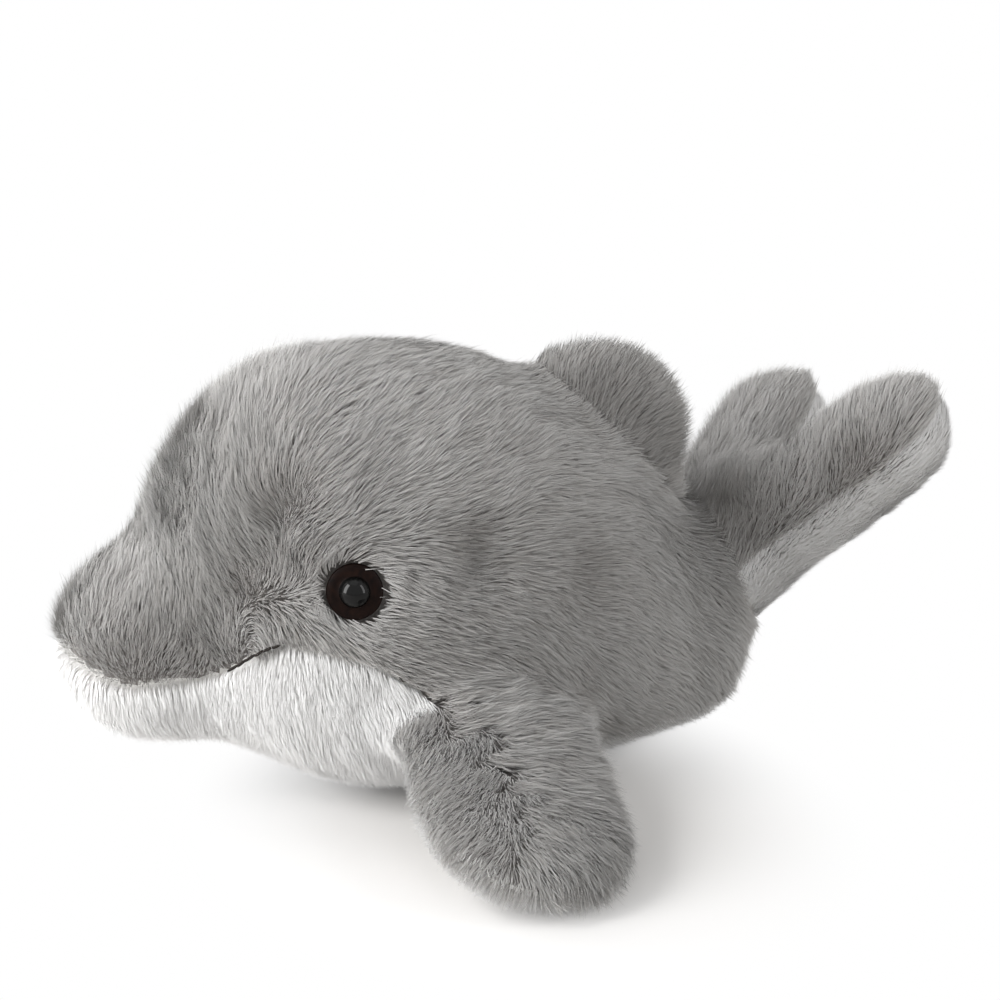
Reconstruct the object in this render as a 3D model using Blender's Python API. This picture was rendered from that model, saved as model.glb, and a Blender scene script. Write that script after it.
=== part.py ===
# Plush dolphin lying on its belly. The nose points to -Y, its left side is +X and +Z is up.
# Every fabric piece is drawn to the tips of its pile, so the outer faces are what a hand would feel.
from math import cos, pi, radians, sin, sqrt

import bmesh
import bpy
import numpy as np
from mathutils import Matrix, Vector

# Sizes in metres. Places along the body are measured from the middle of the head.
COVER_THICKNESS = 0.009
GAP = 0.0003

HEAD_REACH = 0.075
HEAD_HALF_WIDTH = 0.072
HEAD_RISE = 0.0735
HEAD_MIDDLE_HEIGHT = 0.072
WIDEST_HEIGHT = 0.062
SETTLING = 0.003

SNOUT_PLACE = 0.074
SNOUT_REACH = 0.0335
SNOUT_HALF_WIDTH = 0.036
SNOUT_RISE = 0.0315
SNOUT_DROP = 0.034
SNOUT_MIDDLE_HEIGHT = 0.051
BRIDGE_SLOPE = 1.5
CREASE_SOFTNESS = 0.003

TRUNK_LENGTH = 0.108
REAR_REACH = 0.031
REAR_HALF_WIDTH = 0.036
REAR_TOP_HEIGHT = 0.079
REAR_MIDDLE_HEIGHT = 0.031
BACK_FULLNESS = 2.5
SIDE_FULLNESS = 2.2
BELLY_SQUARENESS = 2.8
SNOUT_SQUARENESS = 2.1

MOUTH_CORNER_PLACE = 0.044
MOUTH_BEND_PLACE = 0.066
MOUTH_BEND_HEIGHT = 0.048
MOUTH_TIP_HEIGHT = 0.051
MOUTH_LOW_HEIGHT = 0.044
MOUTH_CORNER_HEIGHT = 0.064
CHEST_SEAM_PLACE = 0.012
CHEST_SEAM_HEIGHT = 0.0545
FLANK_SEAM_HEIGHT = 0.015
BELLY_SEAM_HEIGHT = 0.010

FLIPPER_ROOT_PLACE = 0.026
FLIPPER_ROOT_HEIGHT = 0.040
FLIPPER_INSIDE = 0.0324
FLIPPER_LENGTH = 0.120
FLIPPER_DROOP = radians(20)
FLIPPER_FORWARD = radians(8)
FLIPPER_TWIST = radians(12)
FLIPPER_BEND = radians(8)
FLIPPER_HALF_WIDTH = 0.037
FLIPPER_HALF_THICKNESS = 0.016
# These lines run from a piece's root to its tip, in shares of its length and of its greatest size.
FLIPPER_WIDTHS = ((0, 0.85), (0.35, 0.97), (0.7, 1.0), (1, 0.95))
FLIPPER_THICKNESSES = ((0, 1.1), (0.4, 1.0), (1, 0.8))
FLIPPER_ROUND_FROM = (0.66, 0.75)

FIN_PLACE = 0.0757
FIN_HEIGHT = 0.095
FIN_LENGTH = 0.046
FIN_INSIDE = 0.0225
FIN_LEAN = radians(48)
FIN_HALF_WIDTH = 0.0385
FIN_HALF_THICKNESS = 0.017
FIN_WIDTHS = ((0, 1.0), (1, 1.0))
FIN_THICKNESSES = ((0, 1.0), (0.5, 1.0), (1, 0.8))
FIN_ROUND_FROM = (0.45, 0.6)

TAIL_ROOT_PLACE = 0.116
TAIL_ROOT_HEIGHT = 0.0405
TAIL_RISE = radians(37)
TAIL_YAW = radians(11.5)
TAIL_ROLL = radians(7.5)
TAIL_LENGTH = 0.1055
TAIL_INSIDE = 0.022
TAIL_SEAM_DROP = 0.0035
STOCK_LENGTH = 0.068
STOCK_HALF_WIDTH = 0.034
STOCK_HALF_THICKNESS = 0.031
STOCK_WIDTHS = ((0, 0.95), (0.6, 1.0), (1, 1.0))
STOCK_THICKNESSES = ((0, 0.55), (0.5, 0.9), (1, 0.8))
STOCK_ROUND_FROM = (0.6, 0.6)
LOBE_ROOT_PLACE = 0.0275
LOBE_ROOT_SPREAD = 0.013
LOBE_SPREAD = 0.054
LOBE_HALF_WIDTH = 0.026
LOBE_HALF_THICKNESS = 0.0235
LOBE_WIDTHS = ((0, 0.8), (0.5, 1.0), (1, 1.0))
LOBE_THICKNESSES = ((0, 1.0), (1, 0.9))
LOBE_ROUND_FROM = (0.7, 0.7)

EYE_RADIUS = 0.009
EYE_PUPIL_RADIUS = 0.0049
EYE_HEIGHT = 0.006
EYE_RIM = 0.0026
EYE_PLACE = 0.0232
EYE_LEVEL = 0.0818
EYE_SEAT_DEPTH = 0.0055
STEM_RADIUS = 0.0025
STEM_LENGTH = 0.0085
WASHER_RADIUS = 0.008
WASHER_THICKNESS = 0.0015

STITCH_RADIUS = 0.0007
STITCH_LENGTH = 0.015

UPPER_STEPS = 14
LOWER_STEPS = 9
LIMB_STEPS = 8
FIN_STEPS = 7
TAIL_STEPS = 7
SMALL_ROUND = 18
LIMB_ROUND_SHARE = 0.65
LEAST_SIZE = 0.001
MERGE_DISTANCE = 1e-7
LEFT, RIGHT = 1, -1


class Section:
    # One slice of a stuffed piece: a centre, two directions, and how far the slice reaches each way.
    def __init__(self, centre, side, up, width, rise, drop, seam=0.0, square=2.0):
        self.centre = Vector(centre)
        self.side = Vector(side)
        self.up = Vector(up)
        self.width = width
        self.rise = rise
        self.drop = drop
        self.seam = seam
        self.square = square

    def seam_angle(self):
        if self.seam >= 0:
            return np.arcsin(min(self.seam / self.rise, 0.95))
        share = min(-self.seam / self.drop, 0.95)
        return -np.arcsin(share ** (self.square / 2))

    def point(self, angle):
        c, s = cos(angle), sin(angle)
        if s >= 0:
            across, along = self.width * c, self.rise * s
        else:
            power = 2 / self.square
            across = self.width * np.sign(c) * abs(c) ** power
            along = -self.drop * abs(s) ** power
        return self.centre + self.side * across + self.up * along


def soft_max(a, b, softness):
    return (a + b + sqrt((a - b) ** 2 + softness**2)) / 2


def cap(distance, reach):
    # Height of a round end, from 1 where it starts to 0 at its tip.
    share = min(max(distance / reach, 0.0), 1.0)
    return sqrt(1 - share**2)


def through(points, place):
    # A smooth line through a few points, flat at no point but its own peaks.
    xs, ys = zip(*points)
    if place <= xs[0]:
        return ys[0]
    if place >= xs[-1]:
        return ys[-1]
    slopes = [(ys[i + 1] - ys[i]) / (xs[i + 1] - xs[i]) for i in range(len(xs) - 1)]
    ends = [slopes[0]]
    for a, b in zip(slopes[:-1], slopes[1:]):
        ends.append(0.0 if a * b <= 0 else 2 * a * b / (a + b))
    ends.append(slopes[-1])
    i = max(k for k in range(len(xs) - 1) if xs[k] <= place)
    span = xs[i + 1] - xs[i]
    t = (place - xs[i]) / span
    return (
        ys[i] * (1 + 2 * t) * (1 - t) ** 2
        + ends[i] * span * t * (1 - t) ** 2
        + ys[i + 1] * t * t * (3 - 2 * t)
        + ends[i + 1] * span * t * t * (t - 1)
    )


def body_section(y):
    # Slice of the body at right angles to Y, the head and the snout run together.
    crown = HEAD_MIDDLE_HEIGHT + HEAD_RISE
    if y < 0:
        head = cap(-y, HEAD_REACH)
        top = HEAD_MIDDLE_HEIGHT + HEAD_RISE * head
        bottom = HEAD_MIDDLE_HEIGHT - (HEAD_MIDDLE_HEIGHT + SETTLING) * head
        width = HEAD_HALF_WIDTH * head
    else:
        t = min(y / TRUNK_LENGTH, 1.0)
        top = REAR_TOP_HEIGHT + (crown - REAR_TOP_HEIGHT) * (1 - t**BACK_FULLNESS)
        bottom = -SETTLING
        width = REAR_HALF_WIDTH + (HEAD_HALF_WIDTH - REAR_HALF_WIDTH) * (1 - t**SIDE_FULLNESS)
    snout = cap(-y - SNOUT_PLACE, SNOUT_REACH)
    bridge = SNOUT_MIDDLE_HEIGHT + SNOUT_RISE * snout**BRIDGE_SLOPE
    rear = cap(y - TRUNK_LENGTH, REAR_REACH)
    if y < -HEAD_REACH:
        top = bridge
        bottom = SNOUT_MIDDLE_HEIGHT - SNOUT_DROP * snout
        width = SNOUT_HALF_WIDTH * snout
    elif y < 0:
        top = soft_max(top, bridge, CREASE_SOFTNESS)
        bottom = -soft_max(-bottom, SNOUT_DROP * snout - SNOUT_MIDDLE_HEIGHT, CREASE_SOFTNESS)
        width = soft_max(width, SNOUT_HALF_WIDTH * snout, CREASE_SOFTNESS)
    middle = through(
        (
            (-SNOUT_PLACE - SNOUT_REACH, SNOUT_MIDDLE_HEIGHT),
            (-SNOUT_PLACE, SNOUT_MIDDLE_HEIGHT),
            (-HEAD_REACH / 2, WIDEST_HEIGHT),
            (0, WIDEST_HEIGHT),
            (TRUNK_LENGTH, REAR_MIDDLE_HEIGHT),
        ),
        y,
    )
    square = through(((-SNOUT_PLACE, SNOUT_SQUARENESS), (0, BELLY_SQUARENESS)), y)
    return Section(
        (0, y, middle),
        (1, 0, 0),
        (0, 0, 1),
        max(width * rear, LEAST_SIZE),
        max((top - middle) * rear, LEAST_SIZE),
        max((middle - bottom) * rear, LEAST_SIZE),
        seam_height(y) - middle,
        square,
    )


def seam_height(y):
    # Height of the seam between the grey back and the white belly.
    return through(
        (
            (-SNOUT_PLACE - SNOUT_REACH, MOUTH_TIP_HEIGHT),
            (-SNOUT_PLACE - SNOUT_REACH / 2, MOUTH_LOW_HEIGHT),
            (-MOUTH_BEND_PLACE, MOUTH_BEND_HEIGHT),
            (-MOUTH_CORNER_PLACE, MOUTH_CORNER_HEIGHT),
            (-CHEST_SEAM_PLACE, CHEST_SEAM_HEIGHT),
            (FLIPPER_ROOT_PLACE, FLANK_SEAM_HEIGHT),
            (TRUNK_LENGTH, BELLY_SEAM_HEIGHT),
        ),
        y,
    )


def body_places():
    # Where the body is sliced: close together on its round ends and at the crease of the brow.
    tip = [-SNOUT_PLACE - SNOUT_REACH * cos(a) for a in np.linspace(0.08, pi / 2, 6)[:-1]]
    brow = [-HEAD_REACH * cos(a) for a in np.linspace(0.10, 1.1, 7)]
    trunk = list(np.linspace(brow[-1], TRUNK_LENGTH, 10))[1:]
    rear = [TRUNK_LENGTH + REAR_REACH * sin(a) for a in np.linspace(0, pi / 2 - 0.08, 6)][1:]
    return tip + brow + trunk + rear


def stand_on_floor(point):
    return Vector((point.x, point.y, max(point.z, 0.0)))


def ring(section, upper, lower):
    # Points right round a slice, from the left seam over the top and back underneath.
    start = section.seam_angle()
    over = [start + (pi - 2 * start) * i / upper for i in range(upper)]
    under = [pi - start + (pi + 2 * start) * i / lower for i in range(lower)]
    return [stand_on_floor(section.point(a)) for a in over + under]


def grid_of(sections, upper, lower):
    return np.array([ring(s, upper, lower) for s in sections])


def mirrored(grid, upper):
    # The same rings on the other side of the body, still counted from a seam over the top.
    order = [(upper - j) % grid.shape[1] for j in range(grid.shape[1])]
    return grid[:, order] * np.array([-1, 1, 1])


def outward(grid):
    # Unit normals of a grid of rings.
    along = np.gradient(grid, axis=0)
    round_it = np.roll(grid, -1, axis=1) - np.roll(grid, 1, axis=1)
    normal = np.cross(along, round_it)
    return normal / np.maximum(np.linalg.norm(normal, axis=2, keepdims=True), 1e-12)


def set_in(sections, distance):
    # The same slices, nearer the middle of the body by a cover's thickness.
    size = np.array([(2 * s.width + s.rise + s.drop) / 4 for s in sections])
    forward = np.gradient([s.centre.y for s in sections])
    growth = np.gradient(size)
    run = np.hypot(forward, growth)
    inner = []
    for i, s in enumerate(sections):
        share = max(1 - distance * forward[i] / run[i] / size[i], 0.1)
        centre = s.centre + Vector((0, distance * growth[i] / run[i], 0))
        sizes = [share * value for value in (s.width, s.rise, s.drop, s.seam)]
        inner.append(Section(centre, s.side, s.up, *sizes, s.square))
    return inner


def moved_out(grid, distance):
    return grid + outward(grid) * distance


def new_object(name, mesh_parts, material):
    points, faces = mesh_parts
    mesh = bpy.data.meshes.new(name)
    bm = bmesh.new()
    verts = [bm.verts.new(p) for p in points]
    for face in faces:
        bm.faces.new([verts[i] for i in face])
    bmesh.ops.remove_doubles(bm, verts=bm.verts, dist=MERGE_DISTANCE)
    bmesh.ops.dissolve_degenerate(bm, edges=bm.edges, dist=MERGE_DISTANCE)
    bmesh.ops.recalc_face_normals(bm, faces=bm.faces)
    bm.to_mesh(mesh)
    bm.free()
    mesh.shade_smooth()
    mesh.set_sharp_from_angle(angle=radians(40))
    obj = bpy.data.objects.new(name, mesh)
    bpy.context.scene.collection.objects.link(obj)
    if material:
        mesh.materials.append(material)
    return obj


def two_triangles(a, b, c, d):
    # Every quad is split the same way, so that neighbouring pieces keep their gap.
    return [(a, b, c), (a, c, d)]


def closed_loft(grid):
    # A closed solid from rings, each end closed by a fan.
    rows, columns = grid.shape[:2]
    points = list(grid.reshape(-1, 3)) + [grid[0].mean(0), grid[-1].mean(0)]
    faces = []
    for i in range(rows - 1):
        for j in range(columns):
            k = (j + 1) % columns
            here, beyond = i * columns, (i + 1) * columns
            faces += two_triangles(here + j, here + k, beyond + k, beyond + j)
    first, last = rows * columns, rows * columns + 1
    end = (rows - 1) * columns
    for j in range(columns):
        k = (j + 1) % columns
        faces.append((first, k, j))
        faces.append((last, end + j, end + k))
    return points, faces


def shell_of(outer, inner, columns):
    # A closed shell between two grids, over some of their columns, cut off square at its edges.
    rows, count = outer.shape[0], len(columns)
    points = list(outer[:, columns].reshape(-1, 3)) + list(inner[:, columns].reshape(-1, 3))
    deep = rows * count
    faces = []
    for i in range(rows - 1):
        for j in range(count - 1):
            a, b = i * count + j, (i + 1) * count + j
            faces += two_triangles(a, a + 1, b + 1, b)
            faces += two_triangles(deep + a, deep + a + 1, deep + b + 1, deep + b)
    for i in range(rows - 1):
        for j in (0, count - 1):
            a, b = i * count + j, (i + 1) * count + j
            faces += two_triangles(a, b, deep + b, deep + a)
    for i in (0, rows - 1):
        for j in range(count - 1):
            a = i * count + j
            faces += two_triangles(a, a + 1, deep + a + 1, deep + a)
    return points, faces


def seam_gap(grid, column, towards):
    # Draws one column of a grid back from the seam by half the gap.
    step = grid[:, towards] - grid[:, column]
    length = np.linalg.norm(step, axis=1, keepdims=True)
    grid[:, column] += step / np.maximum(length, 1e-9) * np.minimum(GAP / 2, length / 3)


def covers(names, outer, inner, upper, materials):
    # The upper and the lower cover of a stuffed piece, sewn together along both seams.
    count = outer.shape[1]
    made = []
    for name, columns, material in (
        (names[0], list(range(upper + 1)), materials[0]),
        (names[1], list(range(upper, count)) + [0], materials[1]),
    ):
        skin, lining = outer.copy(), inner.copy()
        for grid in (skin, lining):
            seam_gap(grid, columns[0], columns[1])
            seam_gap(grid, columns[-1], columns[-2])
        made.append(new_object(name, shell_of(skin, lining, columns), material))
    return made


def cutter(name, mesh_parts):
    obj = new_object(name, mesh_parts, None)
    obj.hide_render = True
    obj.display_type = "WIRE"
    return obj


def combine(obj, tool, operation, solver="EXACT"):
    modifier = obj.modifiers.new(tool.name, "BOOLEAN")
    modifier.operation = operation
    modifier.solver = solver
    modifier.object = tool


def cut(obj, tool):
    combine(obj, tool, "DIFFERENCE")


def material(name, colour, roughness):
    made = bpy.data.materials.new(name)
    made.use_nodes = True
    shader = made.node_tree.nodes["Principled BSDF"]
    shader.inputs["Base Color"].default_value = (*colour, 1)
    shader.inputs["Roughness"].default_value = roughness
    shader.inputs["Metallic"].default_value = 0
    return made


def limb_sections(root, along, side, length, width_line, thickness_line, bend=0.0):
    # Slices of a flipper, a fin or a lobe: widths and thicknesses are read along its length.
    along, side = along.normalized(), side.normalized()
    up = side.cross(along).normalized()
    sections = []
    for share in limb_shares():
        turn = Matrix.Rotation(bend * share, 3, side)
        direction = turn @ along
        centre = root + along * length * share + up * length * share**2 * bend / 2
        width = max(through(width_line, share), LEAST_SIZE)
        thickness = max(through(thickness_line, share), LEAST_SIZE)
        sections.append(Section(centre, side, side.cross(direction), width, thickness, thickness))
    return sections


def limb_shares():
    # Where a limb is sliced: evenly at first, then closer together round its tip.
    rest = 1 - LIMB_ROUND_SHARE
    tip = [LIMB_ROUND_SHARE + rest * sin(a) for a in np.linspace(0.3, pi / 2 - 0.03, 6)]
    return list(np.linspace(0, LIMB_ROUND_SHARE, 5)) + tip


def limb_grids(root, along, side, sizes, lines, steps, bend=0.0):
    # A flipper, a fin or a lobe as rings, three times: its outside, its lining and its stuffing.
    length, half_width, half_thickness = sizes
    width_line, thickness_line = lines
    grids = []
    for inset in (0, COVER_THICKNESS, COVER_THICKNESS + GAP):
        sections = limb_sections(
            root,
            along,
            side,
            length - inset,
            [(share, w * (half_width - inset)) for share, w in width_line],
            [(share, t * (half_thickness - inset)) for share, t in thickness_line],
            bend,
        )
        grids.append(grid_of(sections, steps, steps))
    return grids


def rounded(lines, starts):
    # Ends each line in a round tip, past the share where the round end starts.
    shares = np.linspace(0, 1, 41)
    return [
        [(s, through(line, s) * cap(s - start, 1 - start)) for s in shares]
        for line, start in zip(lines, starts)
    ]


def make_body(looks):
    sections = [body_section(y) for y in body_places()]
    grid = grid_of(sections, UPPER_STEPS, LOWER_STEPS)
    names = ("body_back_cover", "belly_cover")
    lining = grid_of(set_in(sections, COVER_THICKNESS), UPPER_STEPS, LOWER_STEPS)
    back, belly = covers(names, grid, lining, UPPER_STEPS, (looks["grey"], looks["white"]))
    inside = grid_of(set_in(sections, COVER_THICKNESS + GAP), UPPER_STEPS, LOWER_STEPS)
    stuffing = new_object("body_filling", closed_loft(inside), looks["stuffing"])
    envelope = cutter("body_envelope", closed_loft(moved_out(grid, GAP)))
    return back, belly, stuffing, envelope


def make_flipper(side_name, side_sign, looks, envelope):
    along = Vector((cos(FLIPPER_FORWARD), -sin(FLIPPER_FORWARD), 0)) * cos(FLIPPER_DROOP)
    along.z = -sin(FLIPPER_DROOP)
    side = Matrix.Rotation(-FLIPPER_TWIST, 3, along) @ along.cross(Vector((0, 0, 1)))
    root = Vector((HEAD_HALF_WIDTH - FLIPPER_INSIDE, FLIPPER_ROOT_PLACE, FLIPPER_ROOT_HEIGHT))
    lines = rounded((FLIPPER_WIDTHS, FLIPPER_THICKNESSES), FLIPPER_ROUND_FROM)
    sizes = (FLIPPER_LENGTH, FLIPPER_HALF_WIDTH, FLIPPER_HALF_THICKNESS)
    grids = limb_grids(root, along, side, sizes, lines, LIMB_STEPS, FLIPPER_BEND)
    if side_sign == RIGHT:
        grids = [mirrored(grid, LIMB_STEPS) for grid in grids]
    outer, lining, inside = grids
    names = (f"flipper_{side_name}_top_cover", f"flipper_{side_name}_underside_cover")
    pieces = covers(names, outer, lining, LIMB_STEPS, (looks["grey"], looks["white"]))
    pieces.append(new_object(f"flipper_{side_name}_filling", closed_loft(inside), looks["stuffing"]))
    for piece in pieces:
        cut(piece, envelope)
    return pieces


def make_fin(looks, envelope):
    along = Vector((0, cos(FIN_LEAN), sin(FIN_LEAN)))
    side = Vector((0, sin(FIN_LEAN), -cos(FIN_LEAN)))
    root = Vector((0, FIN_PLACE, FIN_HEIGHT)) - along * FIN_INSIDE
    lines = rounded((FIN_WIDTHS, FIN_THICKNESSES), FIN_ROUND_FROM)
    sizes = (FIN_LENGTH + FIN_INSIDE, FIN_HALF_WIDTH, FIN_HALF_THICKNESS)
    outer, lining, inside = limb_grids(root, along, side, sizes, lines, FIN_STEPS)
    names = ("fin_left_cover", "fin_right_cover")
    pieces = covers(names, outer, lining, FIN_STEPS, (looks["grey"], looks["grey"]))
    pieces.append(new_object("fin_filling", closed_loft(inside), looks["stuffing"]))
    for piece in pieces:
        cut(piece, envelope)
    return pieces


def turned(profile, closed=False):
    # A shape turned round Z from (radius, height) pairs, as a grid of rings.
    angles = [2 * pi * i / SMALL_ROUND for i in range(SMALL_ROUND)]
    grid = np.array([[(r * cos(a), r * sin(a), z) for a in angles] for r, z in profile])
    if not closed:
        return closed_loft(grid)
    rows, columns = grid.shape[:2]
    faces = []
    for i in range(rows):
        for j in range(columns):
            k, below = (j + 1) % columns, (i + 1) % rows
            faces.append((i * columns + j, i * columns + k, below * columns + k, below * columns + j))
    return list(grid.reshape(-1, 3)), faces


def placed(mesh_parts, frame):
    points, faces = mesh_parts
    return [frame @ Vector(p) for p in points], faces


def body_surface(y, height, hand):
    # A point on the outside of the body, with the direction that points straight out of it.
    def at(place, level):
        section = body_section(place)
        rise = level - section.centre.z
        if rise >= 0:
            angle = np.arcsin(rise / section.rise)
        else:
            angle = -np.arcsin((-rise / section.drop) ** (section.square / 2))
        point = section.point(angle)
        return Vector((point.x * hand, point.y, point.z))

    step = 0.001
    along = at(y + step, height) - at(y - step, height)
    over = at(y, height + step) - at(y, height - step)
    return at(y, height), (along.cross(over) * hand).normalized()


def eye_profile():
    # From the end of the stem to the top of the pupil, measured from the seat of the eye.
    dome = [
        (EYE_PUPIL_RADIUS * cos(a), EYE_RIM + (EYE_HEIGHT - EYE_RIM) * sin(a))
        for a in np.linspace(0, pi / 2 - 0.1, 5)
    ]
    return [
        (STEM_RADIUS * 0.6, -STEM_LENGTH),
        (STEM_RADIUS, -STEM_LENGTH + STEM_RADIUS * 0.4),
        (STEM_RADIUS, 0),
        (EYE_RADIUS * 0.94, 0),
        (EYE_RADIUS, EYE_RIM * 0.4),
        (EYE_RADIUS * 0.96, EYE_RIM * 0.9),
        (EYE_PUPIL_RADIUS * 1.04, EYE_RIM * 1.1),
    ] + dome


def make_eye(side_name, hand, looks, back, stuffing):
    point, normal = body_surface(-EYE_PLACE, EYE_LEVEL, hand)
    seat = point - normal * EYE_SEAT_DEPTH
    frame = Matrix.Translation(seat) @ normal.to_track_quat("Z", "Y").to_matrix().to_4x4()
    eye = new_object(f"eye_{side_name}", placed(turned(eye_profile()), frame), looks["eye"])
    under = -(COVER_THICKNESS - EYE_SEAT_DEPTH)
    washer_low = under - GAP - WASHER_THICKNESS
    hole = STEM_RADIUS + GAP
    ring_shape = (
        (hole, under - GAP),
        (hole, washer_low),
        (WASHER_RADIUS, washer_low),
        (WASHER_RADIUS, under - GAP),
    )
    washer = new_object(
        f"eye_{side_name}_washer", placed(turned(ring_shape, closed=True), frame), looks["washer"]
    )
    room = (
        (hole, -STEM_LENGTH - GAP),
        (hole, washer_low - GAP),
        (WASHER_RADIUS + GAP, washer_low - GAP),
        (WASHER_RADIUS + GAP, under),
        (hole, under),
        (hole, -GAP),
        (EYE_RADIUS + GAP, -GAP),
        (EYE_RADIUS + GAP, EYE_HEIGHT * 2),
    )
    socket = cutter(f"eye_{side_name}_socket", placed(turned(room), frame))
    cut(back, socket)
    cut(stuffing, socket)
    return eye, washer


def thread_grid(hand, radius, overrun):
    # Rings along the seam at the corner of the mouth.
    places = np.linspace(-MOUTH_CORNER_PLACE - STITCH_LENGTH - overrun, -MOUTH_CORNER_PLACE + overrun, 9)
    found = [body_surface(y, seam_height(y), hand) for y in places]
    rings = []
    for i, (point, normal) in enumerate(found):
        before, after = found[max(i - 1, 0)][0], found[min(i + 1, len(found) - 1)][0]
        across = (after - before).normalized().cross(normal).normalized()
        angles = [2 * pi * k / 6 for k in range(6)]
        rings.append([point + normal * radius * sin(a) + across * radius * cos(a) for a in angles])
    return np.array(rings)


def make_mouth_thread(side_name, hand, looks, back, belly):
    thread = new_object(
        f"mouth_thread_{side_name}", closed_loft(thread_grid(hand, STITCH_RADIUS, 0)), looks["thread"]
    )
    groove = cutter(
        f"mouth_groove_{side_name}", closed_loft(thread_grid(hand, STITCH_RADIUS + GAP, GAP))
    )
    cut(back, groove)
    cut(belly, groove)
    return thread


def slab(name, frame, low, high):
    # A block across the tail, used to halve it along its seam.
    reach = TAIL_LENGTH * 2
    corners = [(x, y, z) for x in (-reach, reach) for y in (-reach, reach) for z in (low, high)]
    points = [frame @ Vector(c) for c in corners]
    faces = [(0, 1, 3, 2), (4, 6, 7, 5), (0, 4, 5, 1), (2, 3, 7, 6), (0, 2, 6, 4), (1, 5, 7, 3)]
    return cutter(name, (points, faces))


def tail_frame():
    # Across the flukes is X, along the tail is Y, and Z points out of its grey side.
    root = Matrix.Translation((0, TAIL_ROOT_PLACE, TAIL_ROOT_HEIGHT))
    rise = Matrix.Rotation(TAIL_RISE, 4, "X")
    yaw = Matrix.Rotation(TAIL_YAW, 4, "Z")
    roll = Matrix.Rotation(-TAIL_ROLL, 4, "Y")
    return root @ rise @ yaw @ roll


def tail_grids(frame):
    # The stock and the two lobes of the flukes, each as rings.
    turn = frame.to_3x3()
    lines = rounded((STOCK_WIDTHS, STOCK_THICKNESSES), STOCK_ROUND_FROM)
    root = frame @ Vector((0, -TAIL_INSIDE, 0))
    along, side = turn @ Vector((0, 1, 0)), turn @ Vector((1, 0, 0))
    sizes = (STOCK_LENGTH + TAIL_INSIDE, STOCK_HALF_WIDTH, STOCK_HALF_THICKNESS)
    grids = [limb_grids(root, along, side, sizes, lines, TAIL_STEPS)]
    lines = rounded((LOBE_WIDTHS, LOBE_THICKNESSES), LOBE_ROUND_FROM)
    for hand in (LEFT, RIGHT):
        start = Vector((hand * LOBE_ROOT_SPREAD, LOBE_ROOT_PLACE, 0))
        end = Vector((hand * LOBE_SPREAD, TAIL_LENGTH, 0))
        along = end - start
        side = turn @ Vector((along.y, -along.x, 0))
        sizes = (along.length, LOBE_HALF_WIDTH, LOBE_HALF_THICKNESS)
        grids.append(limb_grids(frame @ start, turn @ along, side, sizes, lines, TAIL_STEPS))
    return zip(*grids)


def make_tail(looks, envelope):
    frame = tail_frame()
    outers, inners, insides = tail_grids(frame)
    lobes = [cutter(f"tail_lobe_{i}", closed_loft(g)) for i, g in enumerate(outers[1:])]
    linings = [cutter(f"tail_lining_{i}", closed_loft(g)) for i, g in enumerate(inners)]
    lower = slab("tail_lower_half", frame, -TAIL_LENGTH, -TAIL_SEAM_DROP + GAP / 2)
    upper = slab("tail_upper_half", frame, -TAIL_SEAM_DROP - GAP / 2, TAIL_LENGTH)
    pieces = []
    for name, other_half, look in (
        ("tail_top_cover", lower, "grey"),
        ("tail_underside_cover", upper, "white"),
    ):
        piece = new_object(name, closed_loft(outers[0]), looks[look])
        for lobe in lobes:
            combine(piece, lobe, "UNION", "MANIFOLD")
        for tool in (*linings, other_half, envelope):
            combine(piece, tool, "DIFFERENCE", "MANIFOLD")
        pieces.append(piece)
    stuffing = new_object("tail_filling", closed_loft(insides[0]), looks["stuffing"])
    for i, grid in enumerate(insides[1:]):
        combine(stuffing, cutter(f"tail_inside_{i}", closed_loft(grid)), "UNION", "MANIFOLD")
    combine(stuffing, envelope, "DIFFERENCE", "MANIFOLD")
    return pieces + [stuffing]


def stand_at_origin():
    # Puts the origin under the middle of the whole toy, on the surface that it lies on.
    graph = bpy.context.evaluated_depsgraph_get()
    corners = []
    for obj in bpy.data.objects:
        if not obj.hide_render:
            solid = obj.evaluated_get(graph)
            corners += [solid.matrix_world @ Vector(c) for c in solid.bound_box]
    low = [min(c[i] for c in corners) for i in range(3)]
    high = [max(c[i] for c in corners) for i in range(3)]
    shift = Vector(((low[0] + high[0]) / 2, (low[1] + high[1]) / 2, low[2]))
    for obj in bpy.data.objects:
        obj.location -= shift


def build():
    for obj in list(bpy.data.objects):
        bpy.data.objects.remove(obj)
    looks = {
        "grey": material("grey_plush", (0.30, 0.295, 0.29), 0.95),
        "white": material("white_plush", (0.82, 0.81, 0.80), 0.95),
        "stuffing": material("fibre_stuffing", (0.86, 0.86, 0.84), 1.0),
        "eye": material("eye_plastic", (0.012, 0.008, 0.006), 0.08),
        "washer": material("washer_plastic", (0.75, 0.75, 0.72), 0.45),
        "thread": material("dark_thread", (0.035, 0.03, 0.028), 0.8),
    }
    back, belly, stuffing, envelope = make_body(looks)
    for side_name, side_sign in (("left", LEFT), ("right", RIGHT)):
        make_flipper(side_name, side_sign, looks, envelope)
        make_eye(side_name, side_sign, looks, back, stuffing)
        make_mouth_thread(side_name, side_sign, looks, back, belly)
    make_fin(looks, envelope)
    make_tail(looks, envelope)
    stand_at_origin()


build()
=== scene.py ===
# Plush dolphin: skins and pile over the CAD covers, domed eyes, stitched mouth, floor and soft light.
import math

import bmesh
import bpy
import numpy as np
from mathutils import Matrix, Vector, noise
from mathutils.bvhtree import BVHTree
from mathutils.kdtree import KDTree


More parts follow.
